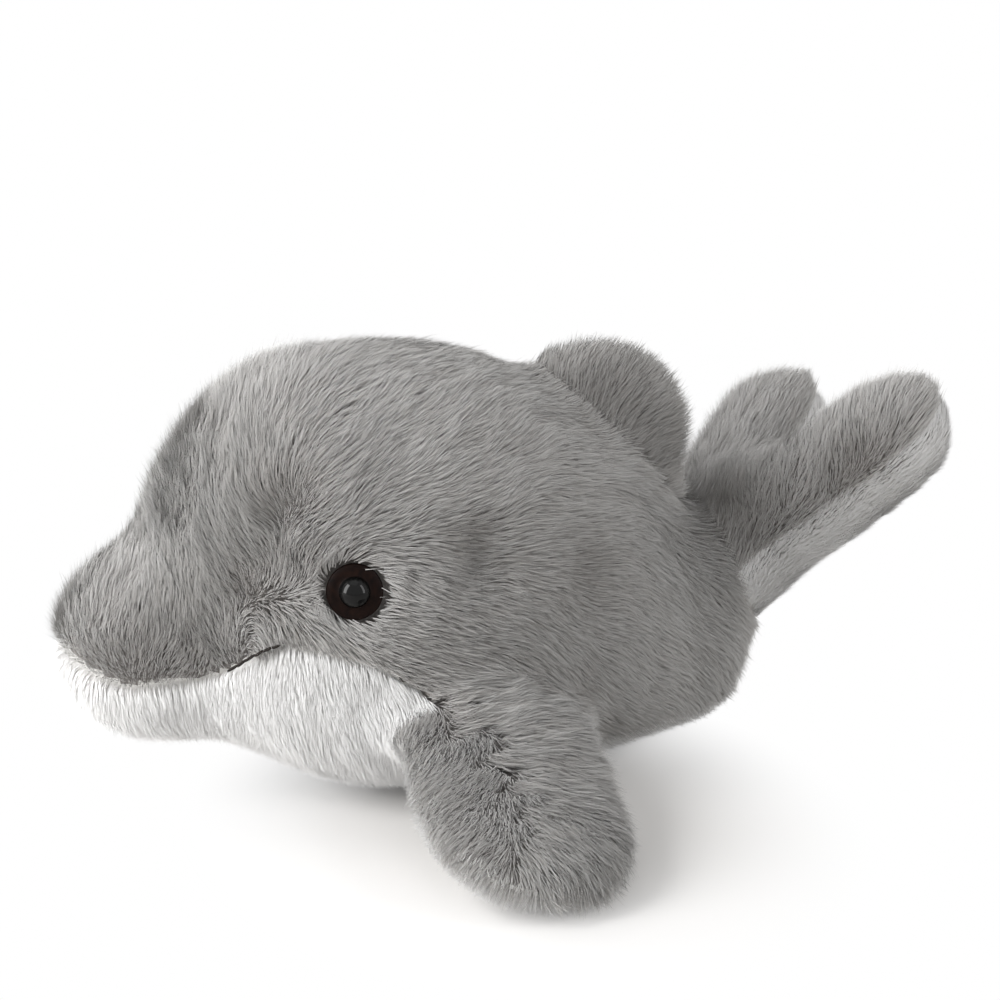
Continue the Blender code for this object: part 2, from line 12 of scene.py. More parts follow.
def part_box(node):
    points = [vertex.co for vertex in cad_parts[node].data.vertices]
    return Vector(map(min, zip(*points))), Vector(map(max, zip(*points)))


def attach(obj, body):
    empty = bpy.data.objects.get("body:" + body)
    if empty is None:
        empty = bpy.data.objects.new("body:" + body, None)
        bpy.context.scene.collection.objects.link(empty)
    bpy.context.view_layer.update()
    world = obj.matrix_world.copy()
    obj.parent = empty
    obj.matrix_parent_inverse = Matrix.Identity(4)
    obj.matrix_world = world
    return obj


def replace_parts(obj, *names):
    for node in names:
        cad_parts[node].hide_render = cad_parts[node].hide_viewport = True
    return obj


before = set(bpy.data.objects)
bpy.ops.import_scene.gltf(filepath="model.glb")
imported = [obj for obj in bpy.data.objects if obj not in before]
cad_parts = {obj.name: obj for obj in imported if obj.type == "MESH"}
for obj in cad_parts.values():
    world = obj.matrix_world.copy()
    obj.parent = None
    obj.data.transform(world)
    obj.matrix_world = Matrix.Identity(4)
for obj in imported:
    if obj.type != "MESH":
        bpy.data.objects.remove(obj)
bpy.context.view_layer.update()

scene = bpy.context.scene

# The middle of the head, which the places below are measured from.
noseReach, headHeight = 0.1074, 0.072
head = Vector((0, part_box("body_back_cover")[0].y + noseReach, headHeight))

view = {
    "azimuth": 70,  # degrees from straight in front of the nose
    "elevation": 18,
    "distance": 1.0,
    "width": 0.335,  # metres across the picture at the head
    "picture": 1000,  # pixels across the picture
    "headAt": (362, 550),  # pixel of the middle of the head
    "sensor": 36,
}


def placeCamera(settings):
    a, e = math.radians(settings["azimuth"]), math.radians(settings["elevation"])
    towards = Vector((math.sin(a) * math.cos(e), -math.cos(a) * math.cos(e), math.sin(e)))
    right = Vector((math.cos(a), math.sin(a), 0))
    up = towards.cross(right)
    pixel = settings["width"] / settings["picture"]
    column, row = (at - settings["picture"] / 2 for at in settings["headAt"])
    target = head - right * column * pixel + up * row * pixel
    lens = bpy.data.cameras.new("camera")
    lens.sensor_width = settings["sensor"]
    lens.lens = lens.sensor_width * settings["distance"] / settings["width"]
    camera = bpy.data.objects.new("camera", lens)
    camera.location = target + towards * settings["distance"]
    camera.rotation_euler = (-towards).to_track_quat("-Z", "Y").to_euler()
    scene.collection.objects.link(camera)
    scene.camera = camera


placeCamera(view)
print("camera placed")


# Helpers for materials.
def feed(tree, socket, value):
    if isinstance(value, bpy.types.NodeSocket):
        tree.links.new(value, socket)
    elif isinstance(value, tuple) and len(value) == 3 and socket.type == "RGBA":
        socket.default_value = (*value, 1)
    else:
        socket.default_value = value


def addNode(tree, kind, inputs, **properties):
    node = tree.nodes.new(kind)
    for key, value in properties.items():
        setattr(node, key, value)
    for key, value in inputs.items():
        feed(tree, node.inputs[key], value)
    return node


def mixColour(tree, factor, first, second, blend="MIX"):
    # sockets 6 and 7 of a Mix node are its colours, and its output 2 the mixed colour
    inputs = {"Factor": factor, 6: first, 7: second}
    return addNode(tree, "ShaderNodeMix", inputs, data_type="RGBA", blend_type=blend).outputs[2]


def spanOf(tree, value, low, high):
    inputs = {"Value": value, "From Min": low, "From Max": high}
    return addNode(tree, "ShaderNodeMapRange", inputs).outputs["Result"]


def mathOf(tree, operation, *inputs, kind="ShaderNodeMath"):
    node = addNode(tree, kind, dict(enumerate(inputs)), operation=operation)
    return node.outputs["Value" if operation == "LENGTH" else 0]


def newGroup(name, inputs, outputs):
    group = bpy.data.node_groups.new(name, "ShaderNodeTree")
    for label, kind in inputs.items():
        group.interface.new_socket(label, in_out="INPUT", socket_type="NodeSocket" + kind)
    for label, kind in outputs.items():
        group.interface.new_socket(label, in_out="OUTPUT", socket_type="NodeSocket" + kind)
    return group, group.nodes.new("NodeGroupInput").outputs, group.nodes.new("NodeGroupOutput").inputs


bendAt = 0.45  # share of a strand's length at its bend, where its middle colour is


def makePileColour():
    # A strand's colour from its root to its tip, times a tone of its own. A root darker than its tip is
    # painted shade deep in the pile.
    inputs = {"Along": "Float", "Tone": "Float"}
    inputs.update({label: "Color" for label in ("Root", "Middle", "Tip", "Dull", "Bright")})
    group, given, result = newGroup("pileColour", inputs, {"Colour": "Color"})
    lower = mixColour(group, spanOf(group, given["Along"], 0, bendAt), given["Root"], given["Middle"])
    whole = mixColour(group, spanOf(group, given["Along"], bendAt, 1), lower, given["Tip"])
    tone = mixColour(group, given["Tone"], given["Dull"], given["Bright"])
    feed(group, result["Colour"], mixColour(group, 1.0, whole, tone, "MULTIPLY"))
    return group


def makeMottle():
    # Soft blotches between two colours, and their height for a bump.
    inputs = {"Vector": "Vector", "Scale": "Float", "Dark": "Color", "Light": "Color"}
    group, given, result = newGroup("mottle", inputs, {"Colour": "Color", "Height": "Float"})
    blotches = addNode(
        group, "ShaderNodeTexNoise", {"Vector": given["Vector"], "Scale": given["Scale"], "Detail": 3.0}
    ).outputs["Fac"]
    factor = spanOf(group, blotches, 0.3, 0.7)
    feed(group, result["Colour"], mixColour(group, factor, given["Dark"], given["Light"]))
    feed(group, result["Height"], blotches)
    return group


pileColour = makePileColour()
mottle = makeMottle()


def newMaterial(name, look):
    made = bpy.data.materials.new(name)
    made.use_nodes = True
    shader = made.node_tree.nodes["Principled BSDF"]
    shader.inputs["Roughness"].default_value = look["roughness"]
    shader.inputs["Specular IOR Level"].default_value = look["specular"]
    shader.inputs["Sheen Weight"].default_value = look.get("sheen", 0)
    return made, made.node_tree, shader


def pileMaterial(name, look):
    made, tree, shader = newMaterial(name, look)
    place = addNode(tree, "ShaderNodeUVMap", {}, uv_map="OFBake").outputs["UV"]
    split = addNode(tree, "ShaderNodeSeparateXYZ", {0: place}).outputs
    inputs = {"Along": split["Y"], "Tone": split["X"]}
    inputs.update({label: look[label.lower()] for label in ("Root", "Middle", "Tip", "Dull", "Bright")})
    colour = addNode(tree, "ShaderNodeGroup", {}, node_tree=pileColour)
    for label, value in inputs.items():
        feed(tree, colour.inputs[label], value)
    feed(tree, shader.inputs["Base Color"], colour.outputs["Colour"])
    return made


def mottledMaterial(name, look):
    made, tree, shader = newMaterial(name, look)
    where = addNode(tree, "ShaderNodeTexCoord", {}).outputs["Object"]
    pattern = addNode(tree, "ShaderNodeGroup", {}, node_tree=mottle)
    inputs = {"Vector": where, "Scale": look["scale"], "Dark": look["dark"], "Light": look["light"]}
    for label, value in inputs.items():
        feed(tree, pattern.inputs[label], value)
    feed(tree, shader.inputs["Base Color"], pattern.outputs["Colour"])
    relief = {"Height": pattern.outputs["Height"], "Strength": look["relief"], "Distance": look["depth"]}
    feed(tree, shader.inputs["Normal"], addNode(tree, "ShaderNodeBump", relief).outputs["Normal"])
    return made


pileLooks = {
    # the grey root and middle are darker than the tip: painted shade deep in the pile
    "grey": {
        "root": (0.25, 0.232, 0.218),
        "middle": (0.42, 0.415, 0.407),
        "tip": (0.54, 0.538, 0.533),
        "dull": (0.64, 0.605, 0.575),
        "bright": (1.0, 1.0, 1.0),
        "roughness": 0.7,
        "specular": 0.2,
        "sheen": 0.25,
    },
    "white": {
        "root": (0.80, 0.792, 0.78),
        "middle": (0.81, 0.807, 0.803),
        "tip": (0.82, 0.82, 0.82),
        "dull": (0.93, 0.925, 0.915),
        "bright": (1.0, 1.0, 1.0),
        "roughness": 0.7,
        "specular": 0.2,
        "sheen": 0.1,
    },
}
backingLooks = {
    # the grey backing is dark like the pile's roots: painted shade under the pile
    "grey": {
        "dark": (0.18, 0.168, 0.158), "light": (0.24, 0.226, 0.215), "scale": 900.0,
        "relief": 0.4, "depth": 0.0004, "roughness": 0.95, "specular": 0.1,
    },
    "white": {
        "dark": (0.78, 0.77, 0.75), "light": (0.84, 0.83, 0.81), "scale": 900.0,
        "relief": 0.4, "depth": 0.0004, "roughness": 0.95, "specular": 0.1,
    },
}
stuffingLook = {
    "dark": (0.74, 0.74, 0.71), "light": (0.88, 0.88, 0.86), "scale": 260.0,
    "relief": 0.7, "depth": 0.001, "roughness": 0.95, "specular": 0.1,
}
pileMaterials = {colour: pileMaterial(colour + "Pile", look) for colour, look in pileLooks.items()}
backingMaterials = {
    colour: mottledMaterial(colour + "Backing", look) for colour, look in backingLooks.items()
}
stuffingMaterial = mottledMaterial("looseStuffing", stuffingLook)
print("pile, backing and stuffing materials made")

coverNodes = {
    "body_back_cover": "grey",
    "belly_cover": "white",
    "flipper_left_top_cover": "grey",
    "flipper_left_underside_cover": "white",
    "flipper_right_top_cover": "grey",
    "flipper_right_underside_cover": "white",
    "fin_left_cover": "grey",
    "fin_right_cover": "grey",
    "tail_top_cover": "grey",
    "tail_underside_cover": "white",
}
coverNames = list(coverNodes)
whiteCovers = [nodeName for nodeName in coverNames if coverNodes[nodeName] == "white"]
bodyCovers = ("body_back_cover", "belly_cover")
paddleCovers = ("flipper_left_top_cover", "flipper_right_top_cover")
limbCovers = ("fin_left_cover", "fin_right_cover", "tail_top_cover")
fillingNodes = (
    "body_filling", "flipper_left_filling", "flipper_right_filling", "fin_filling", "tail_filling",
)


# Which cover a point belongs to.
def coverTree(nodeNames):
    points, faces, owner = [], [], []
    for number, nodeName in enumerate(nodeNames):
        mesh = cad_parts[nodeName].data
        start = len(points)
        points += [vert.co.copy() for vert in mesh.vertices]
        for face in mesh.polygons:
            faces.append([start + i for i in face.vertices])
            owner.append(number)
    return BVHTree.FromPolygons(points, faces), owner


coverSearch, coverOwner = coverTree(coverNames)
whiteSearch, _ = coverTree(whiteCovers)


def coverOf(point):
    return coverOwner[coverSearch.find_nearest(point)[2]]


# Number work on whole arrays of points.
def unit(vectors):
    return vectors / np.maximum(np.linalg.norm(vectors, axis=-1, keepdims=True), 1e-9)


def smoothStep(low, high, value):
    t = np.clip((value - low) / (high - low), 0, 1)
    return t * t * (3 - 2 * t)


def bothSides(place, hands=(1, -1)):
    # A place beside the middle of the head, and its mirror place.
    return [np.array(head) + np.array(place) * (hand, 1, 1) for hand in hands]


# One soft form under the pile, blown up a little between its seams.
form = {
    "voxel": 0.0048,
    "smoothing": 5,  # rounds of smoothing, which take the facets off
    "startDepth": 0.0015,  # the form starts smaller by this, and the stuffing fills it out again
    "pressure": 4,
    "lastFrame": 20,
    "mostMove": 0.0025,
    "pileDepth": 0.0037,  # from the filled form in to the backing
    "lastSmoothing": 2,
    "floorGap": 0.0012,
}
# Places where the stuffed body is drawn in: place from the head, size, depth, sides.
hollows = (
    ((0.067, 0.017, 0.017), 0.0095, 0.0070, (1, -1)),
    ((0.059, 0.057, 0.005), 0.012, 0.0018, (1, -1)),
    ((0.054, -0.040, 0.018), 0.012, 0.0012, (1,)),
)


def joinedNodes(name, nodeNames):
    bm = bmesh.new()
    for nodeName in nodeNames:
        bm.from_mesh(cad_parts[nodeName].data)
    bmesh.ops.remove_doubles(bm, verts=bm.verts, dist=0.00001)
    mesh = bpy.data.meshes.new(name)
    bm.to_mesh(mesh)
    bm.free()
    return mesh


def throughModifier(mesh, name, addModifier, lastFrame=1):
    # A copy of the mesh as a modifier leaves it at the last frame.
    holder = bpy.data.objects.new(name, mesh)
    scene.collection.objects.link(holder)
    addModifier(holder)
    for step in range(1, lastFrame + 1):
        scene.frame_set(step)
    graph = bpy.context.evaluated_depsgraph_get()
    result = bpy.data.meshes.new_from_object(holder.evaluated_get(graph))
    result.name = name
    bpy.data.objects.remove(holder)
    scene.frame_set(1)
    return result


def moveIn(mesh, depth, rounds, floorGap=None):
    # Smooths the mesh and moves it in along its normals.
    bm = bmesh.new()
    bm.from_mesh(mesh)
    for _ in range(rounds):
        bmesh.ops.smooth_vert(
            bm, verts=bm.verts, factor=0.5, use_axis_x=True, use_axis_y=True, use_axis_z=True
        )
    bm.normal_update()
    for vert in bm.verts:
        vert.co -= vert.normal * depth
        if floorGap is not None:
            vert.co.z = max(vert.co.z, floorGap)
    bmesh.ops.recalc_face_normals(bm, faces=bm.faces)
    bm.to_mesh(mesh)
    bm.free()


def addRemesh(holder):
    remesh = holder.modifiers.new("remesh", "REMESH")
    remesh.mode = "VOXEL"
    remesh.voxel_size = form["voxel"]


def addSubdivision(holder):
    holder.modifiers.new("subdivision", "SUBSURF").levels = 1


def addCloth(holder):
    # The seams hold the fabric, and the stuffing presses the panels out between them.
    owners = [coverOf(vert.co) for vert in holder.data.vertices]
    seams = holder.vertex_groups.new(name="seams")
    for edge in holder.data.edges:
        if owners[edge.vertices[0]] != owners[edge.vertices[1]]:
            seams.add(list(edge.vertices), 1.0, "REPLACE")
    cloth = holder.modifiers.new("cloth", "CLOTH")
    cloth.settings.use_pressure = True
    cloth.settings.uniform_pressure_force = form["pressure"]
    cloth.settings.effector_weights.gravity = 0
    cloth.settings.vertex_group_mass = "seams"
    cloth.point_cache.frame_start = 1
    cloth.point_cache.frame_end = form["lastFrame"]


def coordinates(mesh):
    co = np.empty(len(mesh.vertices) * 3, np.float32)
    mesh.vertices.foreach_get("co", co)
    return co.reshape(-1, 3).astype(float)


def filledOut(mesh):
    before = coordinates(mesh)
    pressed = throughModifier(mesh, "filledForm", addCloth, form["lastFrame"])
    move = coordinates(pressed) - before
    far = np.linalg.norm(move, axis=1, keepdims=True)
    move *= np.minimum(1, form["mostMove"] / np.maximum(far, 1e-9))
    pressed.vertices.foreach_set("co", (before + move).astype(np.float32).ravel())
    print("cloth moved by up to", round(float(far.max()), 4))
    return pressed


def softForm(settings):
    mesh = joinedNodes("softForm", (*coverNodes, *fillingNodes))
    mesh = throughModifier(mesh, "softForm", addRemesh)
    moveIn(mesh, settings["startDepth"], settings["smoothing"])
    mesh = filledOut(mesh)
    mesh = throughModifier(mesh, "softForm", addSubdivision)
    points = coordinates(mesh)
    pushed = np.zeros(len(points))
    for place, size, depth, hands in hollows:
        for middle in bothSides(place, hands):
            off = np.linalg.norm(points - middle, axis=1)
            pushed += depth * np.exp(-((off / size) ** 2))
    normals = np.empty(len(points) * 3, np.float32)
    mesh.vertex_normals.foreach_get("vector", normals)
    points -= normals.reshape(-1, 3) * pushed[:, None]
    mesh.vertices.foreach_set("co", points.astype(np.float32).ravel())
    moveIn(mesh, settings["pileDepth"], settings["lastSmoothing"], settings["floorGap"])
    mesh.shade_smooth()
    return mesh


skin = softForm(form)
print("soft form made:", len(skin.polygons), "faces")

# Which way the pile lies, with every place measured from the middle of the head.
eyes = {
    "seat": (0.06126, -0.02153, 0.00867),
    "axis": (0.93242, -0.29769, 0.20487),
    "radius": 0.009,
}
eyeLie = {
    "size": 0.010,  # how wide a round the strands run past
    "leastFar": 0.00008,  # square metres, so that nothing is shared out by nought
    "pushReach": (0.04, 0.02),
    "push": 0.8,
    "leanReach": (0.014, 0.010),
    "lean": 0.8,
}
bodyLie = {
    # how steeply the pile of the side climbs, by height
    "heights": (-0.032, -0.010, 0.003, 0.014, 0.028, 0.048),
    "climbs": (-0.40, -0.45, -0.30, -0.05, 0.30, 0.60),
    # how much less it climbs on the back half and at the rear, and from where to where
    "backDrop": 0.3,
    "backFrom": (0.02, 0.06),
    "rearDrop": 0.6,
    "rearFrom": (0.06, 0.11),
    "browBehind": (-0.015, -0.05),
    "browHigh": (-0.002, 0.018),
    "browTurn": 0.85,
    "browClimb": 1.2,
    "snoutFrom": (-0.044, -0.058),
    "snoutAlong": 0.2,
}
bellyLie = {
    "front": (0.3, -1),  # how far it runs to the rear and upward
    "change": (0.8, 0.9),  # what the rear half adds to that
    "rearFrom": (-0.01, 0.04),
}
flipper = {
    "root": (0.0396, 0.026, -0.032),
    "droop": math.radians(20),
    "forward": math.radians(8),
    "twist": math.radians(12),
    "halfWidth": 0.037,
    "length": 0.120,
    # where the pile parts across the flipper, from its root out to its end
    "partOut": (0.25, 0.6, 0.8),
    "partAcross": (0.55, 0.15, 0.2),
    "partSoft": 0.18,
    "partRough": 0.5,
    "lowerFrom": (0.5, 0.85),
    # lengthwise and sideways, in front of the parting, behind it and what the end changes behind it
    "front": (0.9, 0.6),
    "behind": (0.2, 1),
    "lower": (0.9, 0.6),
    "under": (0.6, 0.5, 0.7),  # on the underside, with how far it is turned up
    "rootFrom": (0.32, 0.12),
    "rootFlow": (0, 1, 0.1),
}
fin = {
    "base": (0, 0.0606, 0.0063),
    "lean": math.radians(48),
    "thin": 0.3,
    "sweep": 0.25,
}
tail = {
    "root": (0, 0.116, -0.0315),
    "along": (-0.1994, 0.7826, 0.5897),
    "across": (0.9715, 0.0793, 0.2232),
    # share along the tail, spread across it and turn upward
    "top": (1, -2, 0.75),
    "under": (0.5, 9, 0.9),
}
turnReach = 1.8  # how much wider than a parting the turn beside it is
# Where the pile parts: place from the head, size, how far its roots show and how much painted shade
# darkens it, how far it turns away, sides.
partingsAndPaintedShade = (
    ((0.047, -0.039, 0.036), 0.009, 0.90, 1.6, (1,)),
    ((0.056, -0.040, 0.018), 0.008, 0.60, 0.4, (1,)),
    ((0.047, -0.053, 0.008), 0.009, 0.90, 0.3, (1,)),
    ((0.058, -0.043, -0.003), 0.007, 0.80, 0.3, (1, -1)),
    ((0.066, 0.015, 0.019), 0.008, 1.30, 0.4, (1, -1)),
    ((0.067, 0.020, 0.013), 0.007, 1.10, 0.4, (1, -1)),
    ((0.059, 0.057, 0.005), 0.011, 0.60, 0.4, (1, -1)),
    ((0.036, -0.068, -0.016), 0.009, 0.40, 0.0, (1, -1)),
    ((0.031, -0.086, -0.019), 0.010, 0.45, 0.0, (1, -1)),
    ((0.081, 0.002, -0.029), 0.009, 0.60, 0.2, (1, -1)),
    ((0.117, 0.005, -0.040), 0.008, 0.35, 0.4, (1, -1)),
    ((0.139, 0.002, -0.049), 0.007, 0.35, 0.4, (1, -1)),
    # these three lie along the crease at the flipper's root and paint its shade
    ((0.069, 0.034, -0.023), 0.006, 0.60, 0.0, (1, -1)),
    ((0.063, 0.053, -0.032), 0.007, 0.80, 0.0, (1, -1)),
    ((0.056, 0.065, -0.050), 0.007, 0.70, 0.0, (1, -1)),
    ((0.042, 0.163, 0.022), 0.010, 1.00, 0.5, (1,)),
    ((0.012, 0.128, 0.006), 0.013, 0.60, 0.0, (1,)),
)


def bodyFlow(points):
    lie = bodyLie
    sideOff, back, high = (points - np.array(head)).T
    climb = np.interp(high, lie["heights"], lie["climbs"])
    climb -= lie["backDrop"] * smoothStep(*lie["backFrom"], back)
    climb -= lie["rearDrop"] * smoothStep(*lie["rearFrom"], back)
    brow = smoothStep(*lie["browBehind"], back) * smoothStep(*lie["browHigh"], high)
    along = 1 - lie["browTurn"] * brow
    climb = climb * (1 - brow) + lie["browClimb"] * brow
    snout = smoothStep(*lie["snoutFrom"], back)
    along = along * (1 - snout) + lie["snoutAlong"] * snout
    climb = climb * (1 - snout) + snout
    flow = np.stack([0 * sideOff, along, climb], axis=1)
    for seat in bothSides(eyes["seat"]):
        # strands run past the eye, as a stream runs past a stone, and lean away from it
        side = points - seat
        near = np.linalg.norm(side, axis=1)
        s, t = side[:, 1], side[:, 2]
        r2 = np.maximum(s * s + t * t, eyeLie["leastFar"])
        size = eyeLie["size"] ** 2
        push = np.stack([0 * s, -size * (s * s - t * t) / r2**2, -2 * size * s * t / r2**2], axis=1)
        flow += push * (smoothStep(*eyeLie["pushReach"], near) * eyeLie["push"])[:, None]
        flow += unit(side) * (eyeLie["lean"] * smoothStep(*eyeLie["leanReach"], near))[:, None]
    return flow


def bellyFlow(points):
    back = points[:, 1] - head.y
    rear = smoothStep(*bellyLie["rearFrom"], back)
    starts, changes = bellyLie["front"], bellyLie["change"]
    along, climb = (start + change * rear for start, change in zip(starts, changes))
    return np.stack([0 * back, along, climb], axis=1)


def flipperFlow(points, hand, fine, under):
    a, f = flipper["droop"], flipper["forward"]
    along = Vector((math.cos(f) * math.cos(a), -math.sin(f) * math.cos(a), -math.sin(a)))
    side = Matrix.Rotation(-flipper["twist"], 3, along) @ along.cross(Vector((0, 0, 1))).normalized()
    along, side = np.array(along), np.array(side)
    mirror = np.array((hand, 1, 1))
    off = (points - np.array(head)) * mirror - np.array(flipper["root"])
    across = off @ side / flipper["halfWidth"]
    out = off @ along / flipper["length"]
    if under:
        lengthwise, sideways, up = flipper["under"]
        flow = along * lengthwise + side * (sideways * across)[:, None] + np.array((0, 0, up))
    else:
        parted = np.interp(out, flipper["partOut"], flipper["partAcross"])
        soft = flipper["partSoft"]
        front = smoothStep(-soft, soft, across - parted + flipper["partRough"] * fine)
        lower = smoothStep(*flipper["lowerFrom"], out)
        frontAlong, frontSide = flipper["front"]
        behindAlong, behindSide = flipper["behind"]
        moreAlong, lessSide = flipper["lower"]
        lengthwise = front * frontAlong + (1 - front) * (behindAlong + moreAlong * lower)
        sideways = front * frontSide - (1 - front) * (behindSide - lessSide * lower)
        flow = along * lengthwise[:, None] + side * sideways[:, None]
    start = smoothStep(*flipper["rootFrom"], out)[:, None]
    return (flow * (1 - start) + np.array(flipper["rootFlow"]) * start) * mirror


def finFlow(points):
    off = points - np.array(head) - np.array(fin["base"])
    off[:, 0] *= fin["thin"]
    return unit(off) + np.array((0, math.cos(fin["lean"]), math.sin(fin["lean"]))) * fin["sweep"]


def tailFlow(points, under):
    lengthwise, spread, up = tail["under" if under else "top"]
    across = np.array(tail["across"])
    spread = (points - np.array(head) - np.array(tail["root"])) @ across * spread
    return np.array(tail["along"]) * lengthwise + across * spread[:, None] + np.array((0, 0, up))


def flowOf(points, normals, owners, fine):
    flow = bodyFlow(points)
    for number, nodeName in enumerate(coverNames):
        mine = owners == number
        if nodeName == "belly_cover":
            flow[mine] = bellyFlow(points[mine])
        elif nodeName.startswith("flipper"):
            hand = 1 if "left" in nodeName else -1
            flow[mine] = flipperFlow(points[mine], hand, fine[mine], "underside" in nodeName)
        elif nodeName.startswith("fin"):
            flow[mine] = finFlow(points[mine])
        elif nodeName.startswith("tail"):
            flow[mine] = tailFlow(points[mine], "underside" in nodeName)
    for place, size, _, turn, hands in partingsAndPaintedShade:
        for middle in bothSides(place, hands):
            off = points - middle
            near = np.exp(-((np.linalg.norm(off, axis=1) / (size * turnReach)) ** 2))
            flow += unit(off) * (turn * near)[:, None]
    flow -= normals * np.sum(flow * normals, axis=1, keepdims=True)
    return unit(flow)


pile = {
    "seed": 7,
    "strands": 440000,
    "mostInPiece": 95000,
    "length": 0.0087,
    "lengthSpread": 0.14,
    "width": 0.00027,
    "widthSpread": 0.5,
    "rootLean": 24,  # degrees off straight up
    "rootSpread": 7,
    "tipLean": 62,
    "tipSpread": 10,
    "clumpSize": 0.0017,  # metres between the middles of clumps
    "clumpPull": 0.25,
    "middlePull": 0.35,  # share of the pull that a strand's middle takes
    "roll": 0.42,  # radians either way that a blade may be turned about its own length
    "whiteLength": 0.95,  # shares of what the grey pile has
    "whiteCalm": 0.5,
    "whiteRoll": 0.3,
    "seamReach": 0.007,  # how near a seam the grey pile gets shorter and more upright
    "tailEdge": 0.0060,  # how far the white pile comes up over the edge of the tail
    "swirlWide": 0.030,  # metres across the swirls in the pile
    "swirlFine": 0.008,
    "fineShift": 9,  # so that the fine swirls don't follow the wide ones
    "turns": (30, 24, 6),  # degrees by the wide swirls, by the fine ones and by chance
    "partingRough": 0.5,
    "pressed": 0.3,  # share of the strands that grow where the floor presses them
    "pressedBelow": 0.004,
    "pressedNormal": -0.8,
    "floorGap": 0.0004,
    "floorSpread": 0.001,
    "tone": 0.65,
    "toneSpread": 0.15,
    "clumpTone": 0.05,
    "toneEnds": (0.02, 0.98),
    # the strand's place in its own map, which the bake needs a little room in
    "mapWidth": 0.006,
    "mapEnds": (0.02, 0.98),
}
eyeRoom = {
    "root": 0.0094,  # how far from the eye's axis a strand may start
    "tip": 0.0084,  # and end
    "height": 0.014,
    "strays": 0.05,  # share of the strands that may come nearer
    "strayRadius": 0.0075,
}
# Zones of the pile, by distance behind and over the middle of the head.
zoneSpans = {
    "crownBehind": (-0.030, 0.0),
    "crownHigh": (0.018, 0.045),
    "foreheadBehind": (-0.005, -0.035),
    "foreheadHigh": (0.0, 0.02),
    "snoutBehind": (-0.055, -0.070),
}
# What each zone does to its pile: shares of the length, degrees of lift at root and tip, and tone.
shorter = {"parting": -0.35, "crown": -0.1, "seam": -0.2, "beneath": -0.2}
longer = {"forehead": 0.2, "snout": 0.1, "paddle": 0.15}
rootLift = {
    "parting": 12, "fine": 6, "forehead": 7, "snout": 3, "limb": 6, "seam": 6,
    "crown": -16, "paddle": -8, "beneath": -14,
}
tipLift = {
    "parting": 24, "fine": 12, "forehead": 13, "snout": 5, "limb": 10, "seam": 12,
    "crown": -13, "paddle": -12, "beneath": -12,
}
# The fine swirls vary the tone at random; the darker tone at partings and near seams is painted shade in
# their hollows and creases.
zoneTonesAndPaintedShade = {"fine": 0.15, "parting": -0.45, "seam": -0.06}
cellPrimes = (73856093, 19349663, 83492791)  # they give each cell of clumps a number of its own


def sampleSkin(mesh, count, rng):
    mesh.calc_loop_triangles()
    tris = np.zeros(len(mesh.loop_triangles) * 3, np.int32)
    mesh.loop_triangles.foreach_get("vertices", tris)
    tris = tris.reshape(-1, 3)
    co = coordinates(mesh)
    no = np.zeros(len(mesh.vertices) * 3, np.float32)
    mesh.vertex_normals.foreach_get("vector", no)
    no = no.reshape(-1, 3).astype(float)
    a, b, c = (co[tris[:, i]] for i in range(3))
    area = np.linalg.norm(np.cross(b - a, c - a), axis=1) / 2
    height, facing = co[tris[:, 0], 2], no[tris[:, 0], 2]
    under = (height < pile["pressedBelow"]) & (facing < pile["pressedNormal"])
    area = np.where(under, area * pile["pressed"], area)
    total = np.cumsum(area)
    where = (np.arange(count) + rng.random(count)) / count * total[-1]
    pick = np.minimum(np.searchsorted(total, where), len(tris) - 1)
    u, v = rng.random(count), rng.random(count)
    over = u + v > 1
    u[over], v[over] = 1 - u[over], 1 - v[over]
    shares = np.stack([1 - u - v, u, v], axis=1)[:, :, None]
    chosen = tris[pick]
    return np.sum(co[chosen] * shares, axis=1), unit(np.sum(no[chosen] * shares, axis=1))


def clumpOf(points, size):
    # The nearest of a thinned-out set of the strands themselves.
    cells = np.floor(points / size).astype(np.int64)
    _, first = np.unique(cells @ np.array(cellPrimes), return_index=True)
    search = KDTree(len(first))
    for number, i in enumerate(first):
        search.insert(points[i], number)
    search.balance()
    return first[np.array([search.find(p)[1] for p in points])]


def noiseAt(points, size, shift):
    return np.array([noise.noise(Vector(p) / size + Vector((shift, 0, 0))) for p in points])


def ofCovers(owners, chosen):
    # Which strands grow on the chosen covers.
    return np.array([nodeName in chosen for nodeName in coverNames])[owners]


def ownersOf(roots, seamFar, tailEdge):
    # The cover of each strand. At the tail's edges the white pile comes up over the seam.
    owners = np.array([coverOf(Vector(p)) for p in roots])
    over = (owners == coverNames.index("tail_top_cover")) & (seamFar < tailEdge)
    owners[over] = coverNames.index("tail_underside_cover")
    return owners


def zonesOf(roots, owners, seamFar, fine):
    # How far each strand belongs to each zone, mostly from 0 to 1.
    _, back, high = (roots - np.array(head)).T
    onBody = ofCovers(owners, bodyCovers)
    paddle = ofCovers(owners, paddleCovers)
    parting = np.zeros(len(roots))
    for place, size, show, _, hands in partingsAndPaintedShade:
        for middle in bothSides(place, hands):
            off = np.linalg.norm(roots - middle, axis=1)
            parting = np.maximum(parting, show * np.exp(-((off / size) ** 2)))
    spans = zoneSpans
    crown = onBody * smoothStep(*spans["crownBehind"], back) * smoothStep(*spans["crownHigh"], high)
    forehead = onBody * smoothStep(*spans["foreheadBehind"], back)
    forehead = forehead * smoothStep(*spans["foreheadHigh"], high)
    snout = onBody * smoothStep(*spans["snoutBehind"], back) * (1 - forehead)
    nearSeam = smoothStep(pile["seamReach"], 0, seamFar)
    return {
        "parting": np.clip(parting * (1 + pile["partingRough"] * fine), 0, 1),
        "crown": crown,
        "forehead": forehead,
        "snout": snout,
        "paddle": paddle,
        "limb": ofCovers(owners, limbCovers),
        "beneath": ofCovers(owners, ("tail_underside_cover",)),
        "seam": np.where(ofCovers(owners, whiteCovers), 0, nearSeam) * (1 - paddle),
        "fine": fine,
    }


def weighed(zones, weights):
    return sum(weight * zones[zone] for zone, weight in weights.items())


